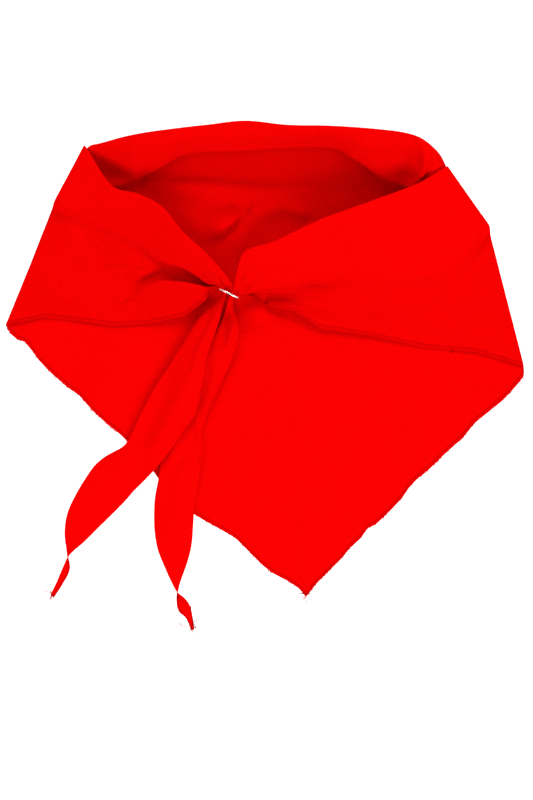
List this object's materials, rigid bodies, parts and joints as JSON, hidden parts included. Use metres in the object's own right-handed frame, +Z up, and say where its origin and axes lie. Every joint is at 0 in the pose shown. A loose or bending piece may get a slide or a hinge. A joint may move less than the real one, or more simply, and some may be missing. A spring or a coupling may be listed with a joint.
{
  "type": "neckerchief",
  "caption": "Triangular red cloth neckerchief, its long edge rolled into a collar and both ends drawn through a thin metal ring, lying flat on its back panel.",
  "frame": {"origin": "middle of the outline seen from above, on the underside of the back panel", "axes": "+Z up off the surface that it lies on, +Y towards the back of the neck, +X to the right as the tails are seen from above"},
  "size_m": [0.3844, 0.375, 0.0461],
  "materials": {
    "cloth": "plain woven cloth, matt, with a fine overlocked edge",
    "ring_metal": "thin bright silvery ring"
  },
  "bodies": {
    "root": {"kerchief": "cloth", "slide_ring": "ring_metal"}
  },
  "joints": []
}
